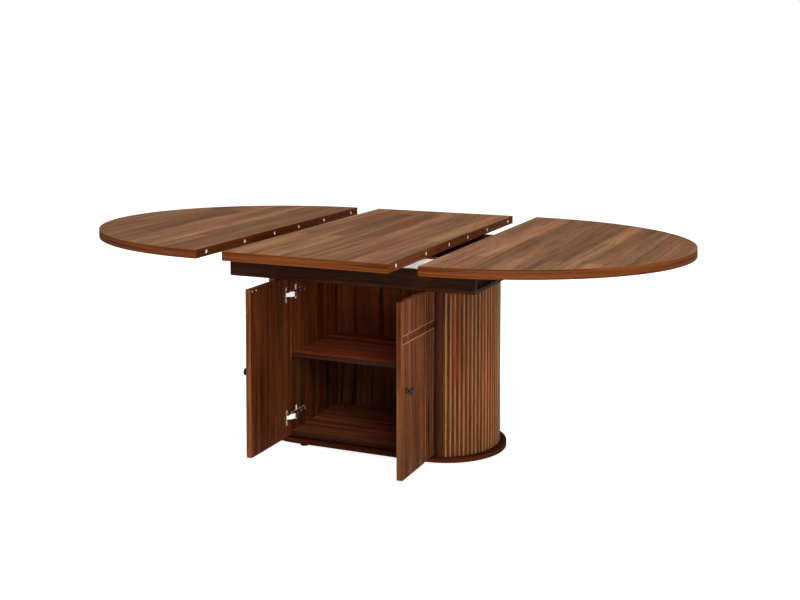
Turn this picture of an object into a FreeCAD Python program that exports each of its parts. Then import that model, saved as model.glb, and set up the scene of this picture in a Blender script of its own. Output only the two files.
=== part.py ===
import FreeCAD, Part
import Sketcher
import os
import re
from math import cos, radians, sin

# Extending oval table on a cabinet base. The frame has +X along the table, -Y at the doors, +Z up,
# and its origin is on the floor under the middle of the cabinet. The table stands opened: both end
# leaves are drawn out from the centre leaf, and both doors stand open at a right angle.

doc = FreeCAD.newDocument("extending_table")

# ---- Driving dimensions, in millimetres and degrees ----

SIZES = {
    # centre leaf and end leaves
    "leaf_width": 1232,
    "leaf_thickness": 30,
    "centre_leaf_length": 590,
    "end_leaf_reach": 722,
    "leaf_opening": 99,
    "edging_thickness": 2.5,
    "pin_place_inner": 94,
    "pin_place_middle": 306,
    "pin_edge_inset": 63,
    "pin_radius": 3,
    "pin_length": 32,
    "pin_reach": 12,
    "bush_radius": 6,
    "bush_length": 20,
    "bush_play": 0.3,
    # apron box
    "apron_length": 924,
    "apron_depth": 588,
    "apron_board_thickness": 20,
    "apron_board_height": 59,
    "platform_thickness": 13,
    "ledger_height": 30,
    "bearer_place": 150,
    "bearer_thickness": 20,
    "bearer_play": 0.3,
    # extension slides
    "slide_height": 41,
    "channel_height": 33,
    "channel_length": 900,
    "channel_wall": 2.5,
    "track_width": 22,
    "track_slot": 9,
    "channel_setback": 3,
    "bar_play": 0.3,
    "bar_neck": 8,
    "bar_lift": 0.5,
    "bar_flange_width": 20,
    "bar_flange_thickness": 2.5,
    "bar_under_leaf": 300,
    "bar_overlap": 50,
    "bar_screw_first": 80,
    "bar_screw_last": 25,
    "bar_screw_radius": 2.5,
    "bar_screw_in_leaf": 15,
    "bar_screw_head_radius": 4.5,
    "bar_screw_head_height": 3,
    # base plate and glides
    "foot_height": 14,
    "foot_radius": 18,
    "foot_taper": 3,
    "foot_place_x": 225,
    "foot_place_y": 185,
    "foot_place_end": 415,
    "base_thickness": 18,
    "base_end_centre": 243,
    "base_end_radius": 221,
    "base_edge": 2,
    # cabinet
    "cabinet_height": 585,
    "end_centre": 218,
    "end_radius": 222,
    "end_wall": 14,
    "flute_pitch": 16.2,
    "flute_radius": 7,
    "flute_depth": 4,
    "end_flute_count": 16,
    "end_flute_margin": 28,
    "opening_half": 272,
    "carcass_half_depth": 198,
    "panel_thickness": 18,
    "top_panel_thickness": 22,
    "shelf_thickness": 16,
    "shelf_above_floor": 268,
    "shelf_setback": 8,
    "shelf_pin_radius": 2.5,
    "shelf_pin_depth": 8,
    "shelf_pin_inset": 60,
    "pin_hole_play": 0.1,
    # doors, at rest open at a right angle
    "door_width": 274,
    "door_thickness": 20,
    "door_half_gap": 1.5,
    "door_inner_step": 5.5,
    "door_front_step": 13,
    "door_bottom_gap": 6,
    "door_top_gap": 4,
    "door_flute_count": 5,
    "door_flute_margin": 18.5,
    "band_above_bottom": 438,
    "band_height": 30,
    "band_depth": 4,
    "band_margin": 4,
    "inlay_height": 2.5,
    # knobs
    "knob_height": 286,
    "knob_inset": 32,
    "knob_head_radius": 13,
    "knob_head_length": 8,
    "knob_round": 3.5,
    "knob_stem_radius": 4.5,
    "knob_stem_length": 17,
    "knob_foot_radius": 9,
    "knob_foot_length": 3,
    "bolt_radius": 2,
    "bolt_head_radius": 4,
    "bolt_head_height": 1.4,
    "bolt_in_knob": 10,
    # concealed hinges
    "hinge_above_bottom": 70,
    "hinge_below_top": 63,
    "cup_place": 30,
    "cup_radius": 17.5,
    "cup_depth": 12,
    "cup_wall": 1.2,
    "cup_flange_thickness": 1.4,
    "cup_flange_height": 55,
    "cup_flange_width": 9,
    "cup_screw_place": 23,
    "screw_radius": 2.2,
    "screw_length": 12,
    "screw_head_radius": 3.5,
    "screw_head_height": 0.5,
    "arm_pivot_inset": 23,
    "arm_pivot_setback": 6,
    "arm_length": 50,
    "arm_angle": 20,
    "arm_thickness": 5,
    "arm_height": 12,
    "arm_boss_radius": 4.5,
    "arm_cover_gap": 2.5,
    "arm_cover_length": 28,
    "arm_cover_height": 17,
    "arm_play": 0.4,
    "hinge_pin_radius": 1.5,
    "cup_pin_gap": 0.8,
    "cup_pin_seat": 0.6,
    "fork_cheek": 2,
    "housing_length": 100,
    "housing_width": 4.5,
    "plate_thickness": 1.5,
    "plate_height": 50,
    "plate_wing": 8,
    "wing_setback": 33,
    "plate_screw_first": 62,
    "plate_screw_step": 32,
    # magnetic catches
    "strike_length": 38,
    "strike_height": 12,
    "strike_thickness": 1,
    "strike_inset": 4,
    "strike_below_top": 1,
    "strike_screw_inset": 6,
    "magnet_depth": 8,
    "magnet_margin": 1,
}

sheet = doc.addObject("Spreadsheet::Sheet", "sizes")
for row, (alias, number) in enumerate(SIZES.items(), start=1):
    cell = f"A{row}"
    sheet.set(cell, str(number))
    sheet.setAlias(cell, alias)
doc.recompute()


# ---- Helpers: every size and place is an expression on the names above ----

def tied(expression):
    """The expression with each named size read from the sheet."""
    def named(word):
        return f"sizes.{word[0]}" if word[0] in SIZES else word[0]

    return re.sub(r"[a-z_]+", named, str(expression))


def value(expression):
    """The number that an expression on the sheet gives now."""
    return float(sheet.evalExpression(tied(expression)))


def bind(thing, **properties):
    for name, expression in properties.items():
        thing.setExpression(name, tied(expression))
    return thing


def place(thing, corner):
    for axis, expression in zip("xyz", corner):
        thing.setExpression(f"Placement.Base.{axis}", tied(expression))
    return thing


def block(label, lengths, corner):
    """A box from its three lengths and its lowest corner."""
    box = doc.addObject("Part::Box", label)
    bind(box, Length=lengths[0], Width=lengths[1], Height=lengths[2])
    return place(box, corner)


TURN_TO = {
    "+x": FreeCAD.Rotation(FreeCAD.Vector(0, 1, 0), 90),
    "-x": FreeCAD.Rotation(FreeCAD.Vector(0, 1, 0), -90),
    "+z": FreeCAD.Rotation(),
}


def rod(label, radius, length, foot, towards="+z"):
    """A cylinder from its foot along one axis."""
    cylinder = doc.addObject("Part::Cylinder", label)
    cylinder.Placement = FreeCAD.Placement(FreeCAD.Vector(), TURN_TO[towards])
    bind(cylinder, Radius=radius, Height=length)
    return place(cylinder, foot)


def cut(label, base, tool):
    piece = doc.addObject("Part::Cut", label)
    piece.Base = base
    piece.Tool = tool
    return piece


def common(label, first, second):
    piece = doc.addObject("Part::Common", label)
    piece.Base = first
    piece.Tool = second
    return piece


def fuse(label, pieces):
    piece = doc.addObject("Part::MultiFuse", label)
    piece.Shapes = pieces
    piece.Refine = True
    return piece


def group(label, pieces):
    """Several solids that are one node or one cutting tool."""
    compound = doc.addObject("Part::Compound", label)
    compound.Links = pieces
    return compound


def mirror(label, source, normal):
    image = doc.addObject("Part::Mirroring", label)
    image.Source = source
    image.Normal = normal
    return image


ACROSS_X = FreeCAD.Vector(1, 0, 0)
ACROSS_Y = FreeCAD.Vector(0, 1, 0)


def eased(label, base, radius, chosen):
    """The base with the edges that chosen() picks rounded over."""
    doc.recompute()
    rounded = doc.addObject("Part::Fillet", label)
    rounded.Base = base
    size = value(radius)
    picked = [index for index, edge in enumerate(base.Shape.Edges, start=1) if chosen(edge)]
    rounded.Edges = [(index, size, size) for index in picked]
    return rounded


def level(edge, height):
    """Whether an edge lies flat at a height."""
    box = edge.BoundBox
    return box.ZLength < 0.01 and abs(box.ZMin - height) < 0.01


nodes = []


def node(piece):
    """Marks a finished piece as one that is written out under its label."""
    nodes.append(piece)
    return piece


# Heights of the stack, from the floor up
base_top = "(foot_height + base_thickness)"
floor_top = f"({base_top} + panel_thickness)"
cabinet_top = f"({base_top} + cabinet_height)"
platform_top = f"({cabinet_top} + platform_thickness)"
board_top = f"({platform_top} + apron_board_height)"
leaf_bottom = f"({board_top} + slide_height)"

# ---- Glides: six tapered plastic feet under the base plate ----

foot_places = [
    ("foot_place_x", "foot_place_y"),
    ("-foot_place_x", "foot_place_y"),
    ("foot_place_x", "-foot_place_y"),
    ("-foot_place_x", "-foot_place_y"),
    ("foot_place_end", "0"),
    ("-foot_place_end", "0"),
]
feet = []
for number, (foot_x, foot_y) in enumerate(foot_places, start=1):
    foot = doc.addObject("Part::Cone", f"foot_{number}")
    bind(foot, Radius1="foot_radius - foot_taper", Radius2="foot_radius", Height="foot_height")
    feet.append(place(foot, (foot_x, foot_y, "0")))
node(group("glides", feet))

# ---- Base plate: a board with two round ends, its upper edge eased ----

base_middle = block(
    "base_middle",
    ("2 * base_end_centre", "2 * base_end_radius", "base_thickness"),
    ("-base_end_centre", "-base_end_radius", "foot_height"),
)
base_ends = [
    rod(f"base_{side}_end", "base_end_radius", "base_thickness", (centre, "0", "foot_height"))
    for side, centre in (("left", "-base_end_centre"), ("right", "base_end_centre"))
]
base_board = fuse("base_board", [base_middle] + base_ends)
base_top_height = value(base_top)
node(eased("base_plate", base_board, "base_edge", lambda edge: level(edge, base_top_height)))

# ---- Carcass: floor, sides, back, top and shelf ----

panel_depth = "(2 * carcass_half_depth - panel_thickness)"
side_outer = "(opening_half + panel_thickness)"

node(block(
    "cabinet_floor",
    ("2 * opening_half", panel_depth, "panel_thickness"),
    ("-opening_half", "-carcass_half_depth", base_top),
))
node(block(
    "back_panel",
    (f"2 * {side_outer}", "panel_thickness", "cabinet_height"),
    (f"-{side_outer}", "carcass_half_depth - panel_thickness", base_top),
))

shelf_bottom = f"({floor_top} + shelf_above_floor)"
shelf_front = "(-carcass_half_depth + shelf_setback)"
shelf_back = "(carcass_half_depth - panel_thickness)"
node(block(
    "shelf",
    ("2 * opening_half", f"{shelf_back} - {shelf_front}", "shelf_thickness"),
    ("-opening_half", shelf_front, shelf_bottom),
))

# Shelf pins: half of each lies in a side panel and half under the shelf
pin_rows = (f"({shelf_front} + shelf_pin_inset)", f"({shelf_back} - shelf_pin_inset)")
right_shelf_pins = []
right_pin_holes = []
for number, row_y in enumerate(pin_rows, start=1):
    foot = ("opening_half - shelf_pin_depth", row_y, f"{shelf_bottom} - shelf_pin_radius")
    shelf_pin_length = "2 * shelf_pin_depth"
    right_shelf_pins.append(rod(f"shelf_pin_{number}", "shelf_pin_radius", shelf_pin_length, foot, "+x"))
    hole_radius = "shelf_pin_radius + pin_hole_play"
    hole_length = f"{shelf_pin_length} + pin_hole_play"
    right_pin_holes.append(rod(f"shelf_pin_hole_{number}", hole_radius, hole_length, foot, "+x"))
right_shelf_pin_pair = group("right_shelf_pin_pair", right_shelf_pins)
left_shelf_pin_pair = mirror("left_shelf_pin_pair", right_shelf_pin_pair, ACROSS_X)
node(group("shelf_pins", [right_shelf_pin_pair, left_shelf_pin_pair]))

side_board = block(
    "side_board",
    ("panel_thickness", panel_depth, "cabinet_height"),
    ("opening_half", "-carcass_half_depth", base_top),
)

# ---- Doors: open at rest, each with its inner face along X and its free edge to the front ----

door_inner = "(opening_half - door_inner_step)"
door_outer = f"({door_inner} + door_thickness)"
door_hinge_edge = "(-carcass_half_depth - door_front_step)"
door_free_edge = f"({door_hinge_edge} - door_width)"
door_bottom = f"({base_top} + door_bottom_gap)"
door_height = "(cabinet_height - door_bottom_gap - door_top_gap)"
door_top = f"({door_bottom} + {door_height})"
hinge_heights = (f"({door_bottom} + hinge_above_bottom)", f"({door_top} - hinge_below_top)")
cup_y = f"({door_hinge_edge} - cup_place)"
knob_y = f"({door_free_edge} + knob_inset)"
knob_z = f"({door_bottom} + knob_height)"

door_slab = block(
    "door_slab",
    ("door_thickness", "door_width", door_height),
    (door_inner, door_free_edge, door_bottom),
)

door_cuts = []
for number in range(int(value("door_flute_count"))):
    flute_y = f"{door_hinge_edge} - door_flute_margin - {number} * flute_pitch"
    foot = (f"{door_outer} + flute_radius - flute_depth", flute_y, door_bottom)
    door_cuts.append(rod(f"door_flute_{number + 1}", "flute_radius", door_height, foot))

# A sunk band runs from the hinge edge to just short of the free edge, between two inlaid strips
band_bottom = f"({door_bottom} + band_above_bottom)"
door_cuts.append(block(
    "door_band",
    ("band_depth", "door_width - band_margin", "band_height"),
    (f"{door_outer} - band_depth", f"{door_free_edge} + band_margin", band_bottom),
))
inlay_feet = (band_bottom, f"({band_bottom} + band_height - inlay_height)")
inlays = [
    block(
        f"inlay_{number}",
        ("band_depth", "door_width - band_margin", "inlay_height"),
        (f"{door_outer} - band_depth", f"{door_free_edge} + band_margin", inlay_z),
    )
    for number, inlay_z in enumerate(inlay_feet, start=1)
]

# Concealed hinge cups: a bowl sunk flush in the door, a slim flange on the door's inner face, and a
# pin across the bowl where the arm's end arrives as the door comes to its stop
arm_pivot_x = "(opening_half - arm_pivot_inset)"
arm_pivot_y = "(-carcass_half_depth + arm_pivot_setback)"
cup_pin_reach = "(arm_length + cup_pin_gap + hinge_pin_radius)"
cup_pin_x = f"({arm_pivot_x} + {cup_pin_reach} * sin(arm_angle * 1deg))"
cup_pin_y = f"({arm_pivot_y} - {cup_pin_reach} * cos(arm_angle * 1deg))"
cup_pin_half = "(cup_radius - cup_wall + cup_pin_seat)"
cups = []
door_screws = []
flange_face = f"({door_inner} - cup_flange_thickness)"
for number, hinge_z in enumerate(hinge_heights, start=1):
    centre = (door_inner, cup_y, hinge_z)
    face_centre = (flange_face, cup_y, hinge_z)
    door_cuts.append(rod(f"cup_bore_{number}", "cup_radius", "cup_depth", centre, "+x"))
    cup_body = rod(f"cup_body_{number}", "cup_radius", "cup_depth", centre, "+x")
    flange = block(
        f"cup_flange_{number}",
        ("cup_flange_thickness", "cup_flange_width", "cup_flange_height"),
        (flange_face, f"{cup_y} - cup_flange_width / 2", f"{hinge_z} - cup_flange_height / 2"),
    )
    solid_cup = fuse(f"solid_cup_{number}", [cup_body, flange])
    bowl_depth = "cup_depth + cup_flange_thickness - cup_wall"
    bowl = rod(f"cup_bowl_{number}", "cup_radius - cup_wall", bowl_depth, face_centre, "+x")
    screw_holes = []
    for end, sign in (("low", "-"), ("high", "+")):
        screw_foot = (flange_face, cup_y, f"{hinge_z} {sign} cup_screw_place")
        screw_label = f"cup_screw_{number}_{end}"
        door_screws.append(rod(screw_label, "screw_radius", "screw_length", screw_foot, "+x"))
        hole_label = f"cup_screw_hole_{number}_{end}"
        screw_holes.append(rod(hole_label, "screw_radius", "screw_length", screw_foot, "+x"))
    door_cuts.extend(screw_holes)
    hollow_cup = cut(f"hollow_cup_{number}", solid_cup, group(f"cup_cuts_{number}", [bowl] + screw_holes))
    cup_pin_foot = (cup_pin_x, cup_pin_y, f"{hinge_z} - {cup_pin_half}")
    cup_pin = rod(f"cup_pin_{number}", "hinge_pin_radius", f"2 * {cup_pin_half}", cup_pin_foot)
    cups.append(fuse(f"cup_{number}", [hollow_cup, cup_pin]))

# Strike plate of the magnetic catch, near the top of the free edge, with two screws
strike_bottom = f"({door_top} - strike_below_top - strike_height)"
strike_plate_blank = block(
    "strike_plate_blank",
    ("strike_thickness", "strike_length", "strike_height"),
    (f"{door_inner} - strike_thickness", f"{door_free_edge} + strike_inset", strike_bottom),
)
strike_holes = []
strike_screw_offsets = ("strike_screw_inset", "strike_length - strike_screw_inset")
for number, offset in enumerate(strike_screw_offsets, start=1):
    screw_y = f"{door_free_edge} + strike_inset + {offset}"
    screw_z = f"{strike_bottom} + strike_height / 2"
    head_foot = (f"{door_inner} - strike_thickness - screw_head_height", screw_y, screw_z)
    shank_foot = (f"{door_inner} - strike_thickness", screw_y, screw_z)
    head = rod(f"strike_screw_head_{number}", "screw_head_radius", "screw_head_height", head_foot, "+x")
    shank = rod(f"strike_screw_shank_{number}", "screw_radius", "screw_length", shank_foot, "+x")
    door_screws.append(fuse(f"strike_screw_{number}", [head, shank]))
    hole_label = f"strike_screw_hole_{number}"
    strike_holes.append(rod(hole_label, "screw_radius", "screw_length", shank_foot, "+x"))
door_cuts.extend(strike_holes)

# Knob: a round foot, a slim stem and a rounded head, held by a bolt from inside the door
bolt_length = "(door_thickness + bolt_in_knob)"
knob_foot = rod("knob_foot", "knob_foot_radius", "knob_foot_length", (door_outer, knob_y, knob_z), "+x")
knob_stem = rod("knob_stem", "knob_stem_radius", "knob_stem_length", (door_outer, knob_y, knob_z), "+x")
head_foot = (f"{door_outer} + knob_stem_length", knob_y, knob_z)
knob_head_blank = rod("knob_head_blank", "knob_head_radius", "knob_head_length", head_foot, "+x")
knob_head = eased("knob_head", knob_head_blank, "knob_round", lambda edge: len(edge.Vertexes) == 1)
bolt_hole = rod("bolt_hole", "bolt_radius", bolt_length, (door_inner, knob_y, knob_z), "+x")
door_cuts.append(bolt_hole)
right_knob = cut("knob_right", fuse("solid_knob", [knob_foot, knob_stem, knob_head]), bolt_hole)
bolt_head_foot = (f"{door_inner} - bolt_head_height", knob_y, knob_z)
bolt_head = rod("bolt_head", "bolt_head_radius", "bolt_head_height", bolt_head_foot, "+x")
bolt_shank = rod("bolt_shank", "bolt_radius", bolt_length, (door_inner, knob_y, knob_z), "+x")
drilled_strike = cut("strike_plate_drilled", strike_plate_blank, group("strike_cuts", strike_holes))

right_door_nodes = [
    cut("door_right", door_slab, group("door_cuts", door_cuts)),
    group("door_inlays_right", inlays),
    right_knob,
    fuse("knob_bolt_right", [bolt_head, bolt_shank]),
    group("hinge_cups_right", cups),
    group("door_screws_right", door_screws),
    group("strike_plate_right", [drilled_strike]),
]

# ---- Hinge arms: each swings on a pin beside the carcass side, and reaches to its cup ----

arms = []
hinge_pins = []
solid_housings = []
solid_plates = []
plate_screws = []
plate_screw_holes = []
fork_height = "(arm_height + 2 * arm_play + 2 * fork_cheek)"
fork_front = f"({arm_pivot_y} - arm_boss_radius)"
fork_back = f"({arm_pivot_y} + arm_boss_radius + arm_play)"
plate_x = "(opening_half - plate_thickness)"
housing_x = f"({plate_x} - housing_width)"
for number, hinge_z in enumerate(hinge_heights, start=1):
    low = f"{hinge_z} - arm_height / 2"
    boss = rod(f"arm_boss_{number}", "arm_boss_radius", "arm_height", ("0", "0", "0"))
    reach = "arm_length - arm_thickness / 2"
    beam = block(
        f"arm_beam_{number}",
        ("arm_thickness", reach, "arm_height"),
        ("-arm_thickness / 2", f"-({reach})", "0"),
    )
    tip = rod(f"arm_tip_{number}", "arm_thickness / 2", "arm_height", ("0", f"-({reach})", "0"))
    # A taller pressed cover over the middle of the arm
    cover_end = "(arm_boss_radius + arm_cover_gap + arm_cover_length)"
    cover = block(
        f"arm_cover_{number}",
        ("arm_thickness", "arm_cover_length", "arm_cover_height"),
        ("-arm_thickness / 2", f"-{cover_end}", "(arm_height - arm_cover_height) / 2"),
    )
    solid_arm = fuse(f"solid_arm_{number}", [boss, beam, tip, cover])
    pin_bore = rod(f"arm_bore_{number}", "hinge_pin_radius + arm_play / 2", "arm_height", ("0", "0", "0"))
    arm = cut(f"arm_{number}", solid_arm, pin_bore)
    arm_turn = FreeCAD.Rotation(FreeCAD.Vector(0, 0, 1), value("arm_angle"))
    arm.Placement = FreeCAD.Placement(FreeCAD.Vector(), arm_turn)
    arms.append(place(arm, (arm_pivot_x, arm_pivot_y, low)))

    # The fixed housing ends in a fork that holds the pin above and below the arm
    fork_low = f"{hinge_z} - {fork_height} / 2"
    pin_foot = (arm_pivot_x, arm_pivot_y, fork_low)
    housing_blank = block(
        f"housing_blank_{number}",
        ("housing_width", "housing_length", fork_height),
        (housing_x, fork_front, fork_low),
    )
    fork_eye = rod(f"fork_eye_{number}", "arm_boss_radius", fork_height, pin_foot)
    fork_root = block(
        f"fork_root_{number}",
        (f"{housing_x} - {arm_pivot_x}", "2 * arm_boss_radius", fork_height),
        (arm_pivot_x, fork_front, fork_low),
    )
    fork_slot = block(
        f"fork_slot_{number}",
        ("4 * arm_boss_radius", f"{fork_back} - {fork_front}", "arm_height + 2 * arm_play"),
        (f"{arm_pivot_x} - 2 * arm_boss_radius", fork_front, f"{low} - arm_play"),
    )
    fork_bore = rod(f"fork_bore_{number}", "hinge_pin_radius", fork_height, pin_foot)
    solid_fork = fuse(f"solid_fork_{number}", [housing_blank, fork_eye, fork_root])
    fork_cuts = group(f"fork_cuts_{number}", [fork_slot, fork_bore])
    solid_housings.append(cut(f"solid_housing_{number}", solid_fork, fork_cuts))
    hinge_pins.append(rod(f"hinge_pin_{number}", "hinge_pin_radius", fork_height, pin_foot))

    # The mounting plate lies between the housing and the side, with a tall wing across it
    plate_back = block(
        f"plate_back_{number}",
        ("plate_thickness", "housing_length", fork_height),
        (plate_x, fork_front, fork_low),
    )
    plate_front = block(
        f"plate_front_{number}",
        ("plate_thickness", "plate_wing", "plate_height"),
        (plate_x, "-carcass_half_depth + wing_setback", f"{hinge_z} - plate_height / 2"),
    )
    solid_plates.append(fuse(f"solid_plate_{number}", [plate_back, plate_front]))
    for place_in_row in range(2):
        key = f"{number}_{place_in_row + 1}"
        screw_y = f"-carcass_half_depth + plate_screw_first + {place_in_row} * plate_screw_step"
        shank_foot = (housing_x, screw_y, hinge_z)
        head_foot = (f"{housing_x} - screw_head_height", screw_y, hinge_z)
        head = rod(f"plate_screw_head_{key}", "screw_head_radius", "screw_head_height", head_foot, "+x")
        shank = rod(f"plate_screw_shank_{key}", "screw_radius", "screw_length", shank_foot, "+x")
        plate_screws.append(fuse(f"plate_screw_{key}", [head, shank]))
        hole_label = f"plate_screw_hole_{key}"
        plate_screw_holes.append(rod(hole_label, "screw_radius", "screw_length", shank_foot, "+x"))

plate_screw_drill = group("plate_screw_drill", plate_screw_holes)
housings = [
    cut(f"housing_{number}", solid, plate_screw_drill)
    for number, solid in enumerate(solid_housings, start=1)
]
plates = [
    cut(f"plate_{number}", solid, plate_screw_drill)
    for number, solid in enumerate(solid_plates, start=1)
]

right_arms = group("hinge_arms_right", arms)
right_side_cuts = group("right_side_cuts", right_pin_holes + [plate_screw_drill])
right_side_nodes = [cut("side_panel_right", side_board, right_side_cuts)]

# Both sides' housings, plates, pins and screws
hinge_sets = {
    "hinge_housings": housings,
    "hinge_plates": plates,
    "hinge_pins": hinge_pins,
    "hinge_screws": plate_screws,
}
for label, pieces in hinge_sets.items():
    right_set = group(f"{label}_seed", pieces)
    node(group(label, [right_set, mirror(f"{label}_image", right_set, ACROSS_X)]))

# ---- Top panel, with a magnet let into its front edge behind each strike plate ----

magnet_length = "(strike_length - 2 * magnet_margin)"
magnet_height = "(strike_height - 2 * magnet_margin)"
magnet_x = "(door_half_gap + strike_inset + magnet_margin)"
magnet_corner = (magnet_x, "-carcass_half_depth", f"{strike_bottom} + magnet_margin")
right_magnet = block("right_magnet", (magnet_length, "magnet_depth", magnet_height), magnet_corner)
left_magnet = mirror("left_magnet", right_magnet, ACROSS_X)
node(group("catch_magnets", [right_magnet, left_magnet]))
right_pocket = block("right_magnet_pocket", (magnet_length, "magnet_depth", magnet_height), magnet_corner)
top_board = block(
    "top_board",
    ("2 * opening_half", panel_depth, "top_panel_thickness"),
    ("-opening_half", "-carcass_half_depth", f"{cabinet_top} - top_panel_thickness"),
)
left_pocket = mirror("left_magnet_pocket", right_pocket, ACROSS_X)
magnet_pockets = group("magnet_pockets", [right_pocket, left_pocket])
node(cut("top_panel", top_board, magnet_pockets))

# ---- Rounded ends: a bent board, fluted from the doors to its middle, with a rib at foot and head ----


def sketch_on(body, name, role):
    """An empty sketch on one of the body's own origin planes."""
    sketch = body.newObject("Sketcher::SketchObject", name)
    plane = next(feature for feature in body.Origin.OriginFeatures if feature.Role == role)
    sketch.AttachmentSupport = [(plane, "")]
    sketch.MapMode = "FlatFace"
    return sketch


def tie_last(sketch, name, expression):
    """Names the sketch's newest constraint and ties it to the sheet."""
    sketch.renameConstraint(sketch.ConstraintCount - 1, name)
    sketch.setExpression(f"Constraints.{name}", tied(expression))


end_start = f"({side_outer} - end_centre)"
flute_step = "(flute_pitch / end_radius * 180 / pi)"
front_angle = f"(acos({end_start} / end_radius) / 1deg)"

end_body = doc.addObject("PartDesign::Body", "end_panel_right")
profile = sketch_on(end_body, "end_profile", "XY_Plane")
outer_start = 80
outer_arc = Part.ArcOfCircle(
    Part.Circle(FreeCAD.Vector(), FreeCAD.Vector(0, 0, 1), value("end_radius")),
    radians(-outer_start),
    radians(outer_start),
)
inner_arc = Part.ArcOfCircle(
    Part.Circle(FreeCAD.Vector(), FreeCAD.Vector(0, 0, 1), value("end_radius - end_wall")),
    radians(-outer_start),
    radians(outer_start),
)
profile.addGeometry(outer_arc, False)
profile.addGeometry(inner_arc, False)
# In a constraint, point 1 of a curve is its start, 2 its end and 3 its centre
for sign, arc_end in ((-1, 1), (1, 2)):
    inner_end = FreeCAD.Vector(
        value("end_radius - end_wall") * cos(radians(outer_start)),
        sign * value("end_radius - end_wall") * sin(radians(outer_start)),
        0,
    )
    outer_end = FreeCAD.Vector(
        value("end_radius") * cos(radians(outer_start)),
        sign * value("end_radius") * sin(radians(outer_start)),
        0,
    )
    line = profile.addGeometry(Part.LineSegment(inner_end, outer_end), False)
    profile.addConstraint(Sketcher.Constraint("Coincident", line, 1, 1, arc_end))
    profile.addConstraint(Sketcher.Constraint("Coincident", line, 2, 0, arc_end))
    profile.addConstraint(Sketcher.Constraint("Vertical", line))
    profile.addConstraint(Sketcher.Constraint("DistanceX", -1, 1, line, 1, value(end_start)))
    tie_last(profile, f"start_{'front' if sign < 0 else 'back'}", end_start)
for arc, name, radius in ((0, "outer_radius", "end_radius"), (1, "inner_radius", "end_radius - end_wall")):
    profile.addConstraint(Sketcher.Constraint("Coincident", arc, 3, -1, 1))
    profile.addConstraint(Sketcher.Constraint("Radius", arc, value(radius)))
    tie_last(profile, name, radius)
end_pad = end_body.newObject("PartDesign::Pad", "end_pad")
end_pad.Profile = profile
bind(end_pad, Length="cabinet_height")
doc.recompute()
plain_end_volume = end_body.Shape.Volume

flute_angle = f"({front_angle} - end_flute_margin / end_radius * 180 / pi)"
flute_centre = "(end_radius + flute_radius - flute_depth)"
flute_x = f"{flute_centre} * cos({flute_angle})"
flute_y = f"{flute_centre} * sin({flute_angle})"
flute_sketch = sketch_on(end_body, "flute_sketch", "XY_Plane")
flute_middle = FreeCAD.Vector(value(flute_x), -value(flute_y), 0)
flute_sketch.addGeometry(Part.Circle(flute_middle, FreeCAD.Vector(0, 0, 1), value("flute_radius")), False)
flute_sketch.addConstraint(Sketcher.Constraint("Radius", 0, value("flute_radius")))
tie_last(flute_sketch, "radius", "flute_radius")
flute_sketch.addConstraint(Sketcher.Constraint("DistanceX", -1, 1, 0, 3, value(flute_x)))
tie_last(flute_sketch, "across", flute_x)
flute_sketch.addConstraint(Sketcher.Constraint("DistanceY", 0, 3, -1, 1, value(flute_y)))
tie_last(flute_sketch, "forward", flute_y)
flute = end_body.newObject("PartDesign::Pocket", "flute")
flute.Profile = flute_sketch
flute.Type = "ThroughAll"
flute.Midplane = False
flute.Reversed = True
doc.recompute()
if not end_body.Shape.Volume < plain_end_volume:
    raise ValueError("the first flute cuts nothing")
flutes = end_body.newObject("PartDesign::PolarPattern", "flutes")
flutes.Originals = [flute]
upright = next(feature for feature in end_body.Origin.OriginFeatures if feature.Role == "Z_Axis")
flutes.Axis = (upright, [""])
bind(flutes, Angle=f"(end_flute_count - 1) * {flute_step}", Occurrences="end_flute_count")
end_body.Tip = flutes
place(end_body, ("end_centre", "0", base_top))

rib_radius = "(end_radius - end_wall)"
ribs = []
for name, rib_z in (("low", base_top), ("high", f"({cabinet_top} - panel_thickness)")):
    disc = rod(f"rib_disc_{name}", rib_radius, "panel_thickness", ("end_centre", "0", rib_z))
    half = block(
        f"rib_half_{name}",
        (f"{rib_radius}", f"2 * {rib_radius}", "panel_thickness"),
        (side_outer, f"-{rib_radius}", rib_z),
    )
    ribs.append(common(f"rib_{name}", disc, half))
right_end_nodes = [end_body, group("end_ribs_right", ribs)]

# ---- The left side mirrors the right ----

for piece in right_side_nodes + right_end_nodes + right_door_nodes + [right_arms]:
    node(piece)
    node(mirror(piece.Name.replace("_right", "_left"), piece, ACROSS_X))

# ---- Apron box: a platform, two long boards, their ledgers, and two bearers for the centre leaf ----

node(block(
    "platform_board",
    ("apron_length", "apron_depth", "platform_thickness"),
    ("-apron_length / 2", "-apron_depth / 2", cabinet_top),
))
front_board = node(block(
    "apron_board_front",
    ("apron_length", "apron_board_thickness", "apron_board_height"),
    ("-apron_length / 2", "-apron_depth / 2", platform_top),
))
ledger_width = "(channel_setback + 2 * track_width - apron_board_thickness)"
front_ledger = node(block(
    "rail_ledger_front",
    ("channel_length", ledger_width, "ledger_height"),
    ("-channel_length / 2", "-apron_depth / 2 + apron_board_thickness", f"{board_top} - ledger_height"),
))
bearer_span = "(apron_depth - 2 * channel_setback - 4 * track_width)"
bearer_height = f"({leaf_bottom} - bearer_play - {platform_top})"
right_bearer = node(block(
    "cross_bearer_right",
    ("bearer_thickness", bearer_span, bearer_height),
    ("bearer_place - bearer_thickness / 2", f"-{bearer_span} / 2", platform_top),
))
node(mirror("cross_bearer_left", right_bearer, ACROSS_X))

# ---- Twin-track channel on each long board: the outer track carries the right leaf's bar ----

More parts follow.
